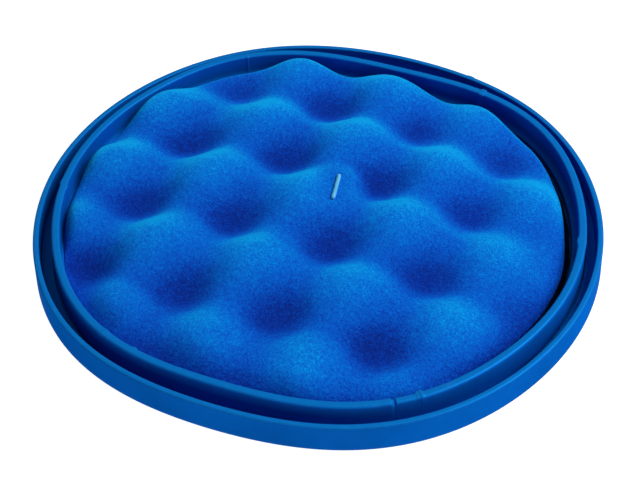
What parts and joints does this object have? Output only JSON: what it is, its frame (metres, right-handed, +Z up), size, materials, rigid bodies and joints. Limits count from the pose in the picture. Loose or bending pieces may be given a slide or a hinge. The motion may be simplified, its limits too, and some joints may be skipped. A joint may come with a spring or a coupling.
{
  "type": "sponge filter cartridge",
  "caption": "Washable convoluted foam filter in a rounded-square frame of nested plastic rings, with a felt backing and a spoked support grille.",
  "frame": {"origin": "centre of the frame's outline on the plane it rests on, the lower edge of the outer wall", "axes": "+Z up through the filter, towards the convoluted face; +Y along the outline's line of symmetry; +X along its longer side"},
  "size_m": [0.1502, 0.1434, 0.0172],
  "materials": {
    "frame_plastic": "satin moulded blue plastic",
    "ring_plastic": "satin moulded blue plastic",
    "grille_plastic": "satin moulded blue plastic",
    "seal_rubber": "matt black cellular rubber",
    "felt": "dark navy needled felt",
    "foam": "fine open-cell foam with a flocked, velvety face",
    "nylon": "translucent pale blue nylon"
  },
  "bodies": {
    "frame": {"outer_frame": "frame_plastic", "face_seal": "seal_rubber"},
    "basket": {"inner_ring": "ring_plastic", "support_grille": "grille_plastic"},
    "media": {"foam_pad": "foam", "felt_backing": "felt", "tag_pin": "nylon"}
  },
  "joints": [
    {"name": "basket_lift", "type": "slide", "parent": "frame", "child": "basket", "axis": [0, 0, 1], "range_m": [0, 0.03]},
    {"name": "media_lift", "type": "slide", "parent": "basket", "child": "media", "axis": [0, 0, 1], "range_m": [0, 0.03]}
  ]
}
